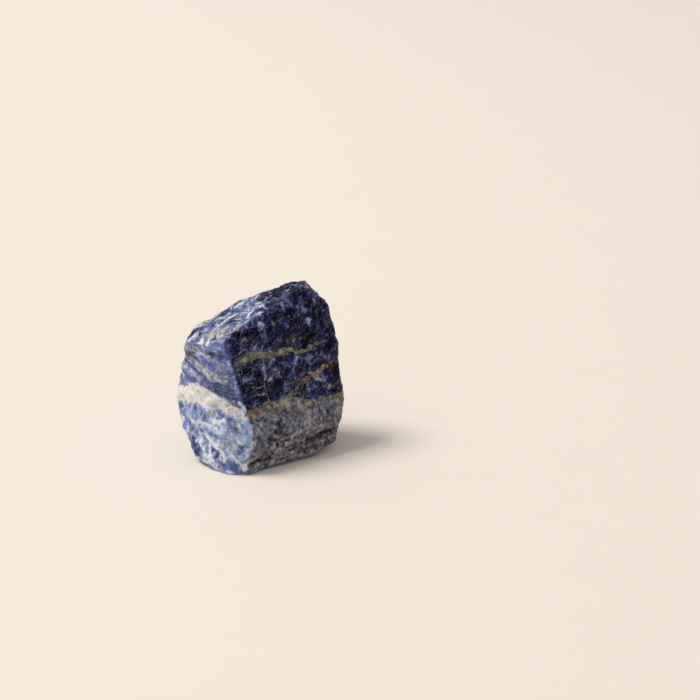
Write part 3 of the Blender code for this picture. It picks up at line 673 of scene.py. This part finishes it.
# each mix is a run of shades, (place, red, green, blue), that a noise of mostly 0.35 to 0.65 picks from
sodalite = {
    "dark": [(0.37, 1, 3, 26), (0.45, 6, 10, 46), (0.52, 24, 30, 76), (0.585, 60, 68, 120),
             (0.65, 120, 126, 160), (0.72, 190, 190, 202)],
    "layers": [(0.34, 72, 80, 120), (0.43, 98, 110, 158), (0.51, 121, 133, 181), (0.58, 156, 167, 204),
               (0.67, 208, 213, 226)],
    "top": [(0.34, 28, 34, 72), (0.42, 70, 84, 136), (0.50, 106, 122, 172), (0.57, 160, 171, 200),
            (0.65, 238, 236, 234)],
    "pale": [(0.31, 92, 106, 152), (0.40, 118, 138, 192), (0.48, 144, 166, 216), (0.56, 172, 190, 226),
             (0.63, 208, 218, 243), (0.71, 234, 240, 252)],
    "dull": [(0.34, 50, 53, 68), (0.42, 82, 86, 106), (0.50, 112, 116, 137), (0.58, 141, 142, 151),
             (0.68, 190, 186, 181)],
    "band": [(0.34, 200, 201, 208), (0.43, 222, 220, 220), (0.53, 235, 232, 231), (0.63, 243, 242, 246)],
    "haze": [(0.38, 18, 17, 20), (0.5, 44, 42, 44), (0.62, 88, 84, 78), (0.7, 140, 132, 118)],
    "black": [(0.38, 1, 1, 7), (0.52, 5, 6, 22), (0.64, 28, 31, 62)],
    "royal": [(0.36, 7, 10, 40), (0.48, 25, 33, 86), (0.58, 54, 66, 124), (0.68, 124, 132, 166)],
    "net": [(0.38, 58, 66, 104), (0.5, 96, 106, 142), (0.64, 150, 156, 180)],
    "slate": [(0.36, 76, 82, 102), (0.48, 104, 109, 128), (0.58, 136, 138, 146), (0.68, 176, 172, 164)],
    "dusk": [(0.36, 18, 19, 28), (0.46, 48, 50, 66), (0.55, 82, 82, 92), (0.66, 180, 172, 158)],
    "bright": [(0.36, 58, 74, 146), (0.48, 90, 108, 184), (0.6, 130, 146, 206), (0.68, 198, 206, 228)],
    "grey": [(0.36, 96, 98, 102), (0.46, 140, 142, 146), (0.55, 178, 176, 172), (0.66, 216, 214, 208)],
    "deep": [(0.36, 24, 30, 60), (0.46, 44, 54, 102), (0.56, 76, 88, 138), (0.68, 180, 188, 208)],
    "line": [(0.38, 58, 62, 82), (0.5, 90, 94, 114), (0.64, 138, 138, 146)],
    "brown": [(0.36, 34, 29, 28), (0.46, 66, 55, 48), (0.56, 98, 82, 68), (0.68, 150, 132, 110)],
    "tan": [(0.36, 72, 71, 68), (0.45, 108, 104, 90), (0.54, 138, 132, 116), (0.68, 186, 178, 160)],
    "cream": [(0.36, 116, 109, 98), (0.48, 154, 145, 130), (0.62, 198, 189, 174)],
    "rust": [(0.38, 72, 56, 52), (0.46, 128, 94, 70), (0.55, 160, 120, 90), (0.66, 206, 180, 152)],
    "white": [(0.38, 200, 209, 232), (0.46, 230, 235, 246), (0.6, 248, 248, 250)],
    "ochre": [(0.36, 74, 62, 50), (0.47, 118, 98, 72), (0.56, 148, 126, 96), (0.68, 192, 174, 148)],
    "hair": [(0.36, 124, 128, 148), (0.5, 160, 163, 176), (0.66, 204, 202, 200)],
    # painted shade in the cracks
    "crackShade": [(0.4, 14, 12, 12), (0.6, 44, 38, 34)],
    "wisp": (150, 153, 176), "tanHaze": (150, 140, 122), "speck": (206, 200, 188),
    # painted shade for the hollows, then a white of the top veins that is also painted highlight on
    # proud edges, then a white of the pale veins that is also painted glints
    "crevice": (6, 7, 16), "veinWhiteAndEdgeLight": (204, 208, 220), "glint": (240, 242, 250),
}
# field, how far its border breaks up, how soft it is and how strong; first to last, the later on top
darkSpread = [("haze", 1.6, 0.8, 0.75), ("black", 1.6, 0.8, 0.8), ("royal", 1.6, 0.8, 0.8),
              ("net", 0.4, 0.25, 0.7)]
dullSpread = [("slate", 1.4, 0.8, 0.75), ("dusk", 1.4, 0.8, 0.8)]
sodaliteSpread = [("bright", 1.0, 0.5, 0.85), ("grey", 0.8, 0.3, 0.85), ("deep", 0.8, 0.25, 0.9),
                  ("line", 0.4, 0.25, 0.9), ("brown", 1.0, 0.4, 0.8), ("tan", 0.45, 0.35, 0.85),
                  ("cream", 0.6, 0.22, 0.85), ("ochre", 0.8, 0.25, 0.85), ("rust", 1.1, 0.3, 0.85),
                  ("white", 0.5, 0.2, 0.95), ("hair", 0.25, 0.13, 0.6), ("crackShade", 0.25, 0.15, 0.9)]
# how the place is bent or drawn out before a noise reads it, each way from the one it names
noiseWays = {
    "bent": ("warp", "place", {"Scale": 0.25, "Amount": 0.8}),
    "swirl": ("warp", "bent", {"Scale": 0.9, "Amount": 0.45}),
    "downTop": ("pull", "swirl", {"Along": (0.55, 0.82, 0.17), "Stretch": 3.0}),
    "upRight": ("pull", "bent", {"Along": (0.45, 0.63, 0.60), "Stretch": 3.6}),
    "grainy": ("pull", "bent", {"Along": (0.6, 0.45, 0.6), "Stretch": 1.8}),
}
# the way of each noise, then its scale by mm, its detail and its roughness
noises = {
    "cloud": ("swirl", 0.34, 6.0, 0.58), "fractal": ("swirl", 0.7, 6.0, 0.62),
    "gritty": ("place", 1.5, 4.0, 0.62), "border": ("swirl", 0.8, 5.0, 0.62),
    "slow": ("bent", 0.12, 3.0, 0.55), "slope": ("downTop", 0.5, 5.0, 0.6),
    "scratch": ("upRight", 1.0, 4.0, 0.6), "grain": ("grainy", 1.9, 5.0, 0.62),
}
layerLines = {"Pitch": 1.9, "Run": 11.0, "Roughness": 0.55}
# the noise that picks the shades of each mix, with shares of others added to it
noiseMixes = {
    "layers": ("lines", {"gritty": 0.3, "cloud": 0.5, "slow": 0.3}),
    "top": ("slope", {"cloud": 0.6, "gritty": 0.25}),
    "dark": ("cloud", {"scratch": 0.5, "slow": 0.5, "gritty": 0.2}),
    "pale": ("cloud", {"fractal": 0.5, "slow": 0.35}),
    "dull": ("fractal", {"grain": 0.5, "cloud": 0.35, "slow": 0.3}),
    "tanHaze": ("grain", {"cloud": 0.6}),
    "band": ("cloud", {"lines": 0.8, "gritty": 0.3}),
}
# veins: their way, colour and strength, then their scale, width, cover and the size of their patches
veins = {
    "topWhite": ("downTop", "veinWhiteAndEdgeLight", 0.6, 0.5, 0.04, 0.5, 0.2),
    "thin": ("upRight", "wisp", 0.6, 1.3, 0.03, 0.5, 0.35),
    "wide": ("upRight", "wisp", 0.7, 0.5, 0.022, 0.5, 0.25),
    "paleVeins": ("swirl", "glint", 0.6, 0.3, 0.035, 0.6, 0.15),
}
# loose grains, and painted glints: their strength, scale, the noise above which they show and how soft
# they are
flecks = {"speck": (0.5, 1.7, 0.67, 0.04), "glint": (0.8, 2.2, 0.76, 0.03)}
# borders between the zones: ragged and soft; the dark skin's is softer by "more" below the band
borders = {"skin": (0.35, 0.13), "more": 0.35, "belowBand": (0.7, 0.2), "band": (0.8, 0.35)}
# the front strip: bright blue along the edge above the band, and below it a pale painted highlight on
# the rounded edge
frontStrip = {"wander": 3.0, "bright": (2.1, 1.3), "pale": (1.3, 0.2), "strength": 0.7}
# strengths of the painted shade in the hollows and of the painted highlight on proud edges, on the blue
# side and on the dark skin
reliefShadeAndLight = {"hollowShade": 0.35, "edgeLightOnBlue": 0.35, "edgeLightOnDark": 0.12}
# fine relief in mm; flakes have a size, a height and a seed
bumps = {"gritty": 0.06, "flakes": [(1.3, 0.09, 5.0), (0.6, 0.035, 9.0)], "lines": 0.25, "scratch": 0.12}
gloss = {"roughness": (0.30, 0.62), "level": 0.08, "ior": 1.48}


def newMaterial(name):
    # gives the material, its tree, and the place in it in mm
    material = bpy.data.materials.new(name)
    material.use_nodes = True
    tree = material.node_tree
    tree.nodes.clear()
    place = addNode(tree, "ShaderNodeTexCoord").outputs["Object"]
    return material, tree, vectorCalc("SCALE", place, scale=toMillimetres)


def surface(material, looks, bump):
    tree = material.node_tree
    normal = feed(addNode(tree, "ShaderNodeBump"), bump).outputs[0]
    shader = feed(addNode(tree, "ShaderNodeBsdfPrincipled"), looks | {"Normal": normal})
    tree.links.new(shader.outputs[0], addNode(tree, "ShaderNodeOutputMaterial").inputs[0])
    return material


def sodaliteMaterial():
    material, tree, place = newMaterial("sodalite")

    def field(name):
        return addNode(tree, "ShaderNodeAttribute", attribute_name=name).outputs["Fac"]

    def plus(value, noise, share):
        # value with a share of a noise that runs from 0 to 1 added about its middle
        return calc("MULTIPLY_ADD", less(noise, 0.5), share, value)

    def shaded(name, value):
        return shades(value, sodalite[name])

    def edged(outside, ragged, soft):
        return placeGroup("edge", Outside=outside, Noise=noise["border"], Ragged=ragged, Soft=soft)

    def blend(name):
        first, others = noiseMixes[name]
        value = noise[first]
        for other, share in others.items():
            value = plus(value, noise[other], share)
        return value

    def spread(entries, under, value):
        for name, ragged, soft, share in entries:
            under = over(times(edged(field(name), ragged, soft), share), under, shaded(name, value))
        return under

    def veined(name, under):
        way, colour, strength, *sizes = veins[name]
        values = dict(zip(("Scale", "Width", "Cover", "Patch"), sizes))
        mask = placeGroup("wisps", Vector=ways[way], **values)
        return over(times(mask, strength), under, tint(*sodalite[colour]))

    def flecked(name, under):
        strength, scale, above, soft = flecks[name]
        mask = placeGroup("flecks", Vector=ways["place"], Scale=scale, Above=above, Soft=soft)
        return over(times(mask, strength), under, tint(*sodalite[name]))

    ways = {"place": place}
    for name, (group, source, values) in noiseWays.items():
        ways[name] = placeGroup(group, Vector=ways[source], **values)
    noise = {"lines": placeGroup("layers", Vector=ways["bent"], **layerLines)}
    for name, (way, *settings) in noises.items():
        noise[name] = noiseOf(ways[way], *settings)

    # left of the front edge: blue and grey layers; the left of the top: white ridges down the slope
    onTop = stepBetween(field("topSide"), 0.62, 0.76)
    topBlue = veined("topWhite", shaded("top", blend("top")))
    blueSide = over(onTop, shaded("layers", blend("layers")), topBlue)

    # the dark skin: near-black and royal clouds, with pale scratches that run up to the right
    darkValue = blend("dark")
    dark = spread(darkSpread, shaded("dark", darkValue), darkValue)
    dark = flecked("speck", veined("wide", veined("thin", dark)))
    ragged, soft = borders["skin"]
    onSide = less(1.0, stepBetween(field("aboveBand"), -2.0, 1.0))
    lighterSide = edged(field("darkSkin"), ragged, calc("MULTIPLY_ADD", onSide, borders["more"], soft))
    skinMask = less(1.0, lighterSide)
    upper = over(skinMask, blueSide, dark)

    # below the band: pale blue clouds with white on the left, dull grey-blue grains on the right
    low = stepBetween(field("level"), 13.0, 8.0)
    paleValue = blend("pale")
    pale = veined("paleVeins", shaded("pale", plus(paleValue, paleValue, times(low, 0.4))))
    dullValue = blend("dull")
    dull = spread(dullSpread, shaded("dull", dullValue), dullValue)
    tanShare = stepBetween(blend("tanHaze"), 0.52, 0.68, 0.0, 0.3)
    dull = flecked("speck", over(tanShare, dull, tint(*sodalite["tanHaze"])))
    lower = over(skinMask, pale, dull)

    # the pale band between them, thin and tan on the right face
    stone = over(edged(times(field("aboveBand"), -1.0), *borders["belowBand"]), lower, upper)
    bandField = calc("MAXIMUM", times(field("aboveBand"), 1.6), field("belowBand"))
    bandMask = times(edged(bandField, *borders["band"]), over(skinMask, 1.0, 0.5, "FLOAT"))
    bandTone = over(skinMask, shaded("band", blend("band")), shaded("tan", noise["fractal"]))
    stone = over(bandMask, stone, bandTone)

    # the strip along the front edge: bright blue above the band; below it a pale strip, a painted
    # highlight where the rounded edge catches light
    edgeAway = plus(field("ridge"), noise["border"], frontStrip["wander"])
    above = stepBetween(field("aboveBand"), 0.2, 1.0)
    wide = times(times(stepBetween(edgeAway, *frontStrip["bright"]), lighterSide), above)
    stone = over(times(wide, frontStrip["strength"]), stone, shaded("bright", noise["fractal"]))
    narrow = times(stepBetween(edgeAway, *frontStrip["pale"]), lighterSide)
    narrow = calc("SUBTRACT", narrow, above, clamp=True)
    edgeHighlight = shaded("pale", calc("MULTIPLY_ADD", noise["fractal"], 0.8, 0.10))
    stone = over(times(narrow, frontStrip["strength"]), stone, edgeHighlight)

    # minerals at their own places, and painted shade in the cracks
    stone = spread(sodaliteSpread, stone, noise["fractal"])

    # hollows hold dirt, proud edges are rubbed pale, and tiny faces glint
    # painted shade darkens the hollows, a painted highlight pales proud edges, and painted glints lie on
    # tiny faces
    hollow = field("hollow")
    # painted shade: the more hollow a point, the darker it is made
    hollowShade = stepBetween(hollow, 0.02, 0.12, 0.0, reliefShadeAndLight["hollowShade"])
    stone = over(hollowShade, stone, tint(*sodalite["crevice"]))
    # painted highlight: proud points are made paler, in patches, more on the blue side than on the dark
    # skin
    veinWhiteAndEdgeLight = times(stepBetween(hollow, -0.02, -0.10), stepBetween(noise["gritty"], 0.42, 0.6))
    veinWhiteAndEdgeLight = times(veinWhiteAndEdgeLight, over(skinMask, reliefShadeAndLight["edgeLightOnBlue"], reliefShadeAndLight["edgeLightOnDark"], "FLOAT"))
    # painted glints: small pale flecks laid over the whole stone
    stone = flecked("glint", over(veinWhiteAndEdgeLight, stone, tint(*sodalite["veinWhiteAndEdgeLight"])))

    height = times(noise["gritty"], bumps["gritty"])
    for size, depth, seed in bumps["flakes"]:
        flakes = placeGroup("flakes", Position=ways["place"], Size=size, Depth=depth,
                            Lean=stoneShape["Lean"], Seed=seed)
        height = calc("ADD", height, flakes)
    height = calc("MULTIPLY_ADD", times(noise["lines"], lighterSide), bumps["lines"], height)
    height = calc("MULTIPLY_ADD", times(noise["scratch"], skinMask), bumps["scratch"], height)
    looks = {"Base Color": stone, "Specular IOR Level": gloss["level"], "IOR": gloss["ior"],
             "Roughness": stepBetween(noise["gritty"], 0.3, 0.7, *gloss["roughness"])}
    return surface(material, looks, {"Strength": 1.0, "Distance": 0.001, "Height": height})


stoneMaterial = sodaliteMaterial()
stone = makeStone(stoneMaterial)
cutStone(stone.data)
markStone(stone.data)
stone.data.transform(Matrix.Scale(1.0 / toMillimetres, 4))
stone.data.polygons.foreach_set("use_smooth", [True] * len(stone.data.polygons))
stone.data.update()
print("stone broken and marked:", len(stone.data.polygons), "faces")


# the pale floor, the soft light and the camera

stage = {
    "floorHalf": 3.0,
    "floorTint": (240, 233, 224),
    "floorShade": 0.985,    # how dark its darkest spots are
    "skyTint": (255, 251, 246),
    "skyStrength": 0.45,
    "keyTint": (255, 249, 241),
    "keyWatts": 68.0,
    "keyPlace": (-1.55, 0.30, 2.60),
    "keySize": 1.3,
    "lens": 111.43,
    "cameraPlace": (0.027768, -0.62014, 0.2578),
    "cameraTilt": 70.0,
}


def floorMaterial():
    material, _, place = newMaterial("paleFloor")
    base = tint(*stage["floorTint"])
    shaded = tuple(v * stage["floorShade"] for v in base[:3]) + (1.0,)
    colour = over(noiseOf(place, 0.05, 3.0, 0.5), shaded, base)
    bump = {"Strength": 0.2, "Distance": 0.0002, "Height": noiseOf(place, 0.6, 4.0, 0.6)}
    return surface(material, {"Base Color": colour, "Roughness": 0.85, "Specular IOR Level": 0.2}, bump)


def makeFloor():
    half = stage["floorHalf"]
    mesh = bpy.data.meshes.new("paleFloor")
    corners = [(-half, -half, 0), (half, -half, 0), (half, half, 0), (-half, half, 0)]
    mesh.from_pydata(corners, [], [(0, 1, 2, 3)])
    mesh.materials.append(floorMaterial())
    return addObject("paleFloor", mesh)


floor = makeFloor()
world = bpy.data.worlds.new("softRoom")
world.use_nodes = True
feed(world.node_tree.nodes["Background"], {"Color": tint(*stage["skyTint"]),
                                           "Strength": stage["skyStrength"]})
scene.world = world

keyLight = bpy.data.lights.new("keyLight", "AREA")
keyLight.shape = "DISK"
keyLight.size = stage["keySize"]
keyLight.energy = stage["keyWatts"]
keyLight.color = tint(*stage["keyTint"])[:3]
key = addObject("keyLight", keyLight)
key.location = stage["keyPlace"]
key.rotation_euler = Vector(stage["keyPlace"]).to_track_quat("Z", "Y").to_euler()

cameraData = bpy.data.cameras.new("camera")
cameraData.lens = stage["lens"]
cameraData.sensor_width = 36.0
cameraData.clip_start = 0.01
cameraData.dof.use_dof = False
camera = addObject("camera", cameraData)
camera.location = stage["cameraPlace"]
camera.rotation_euler = (radians(stage["cameraTilt"]), 0.0, 0.0)
scene.camera = camera
scene.view_settings.view_transform = "Standard"
scene.view_settings.look = "None"
print("floor, light and camera set")

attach(stone, "root")
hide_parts("sodalite_stone")
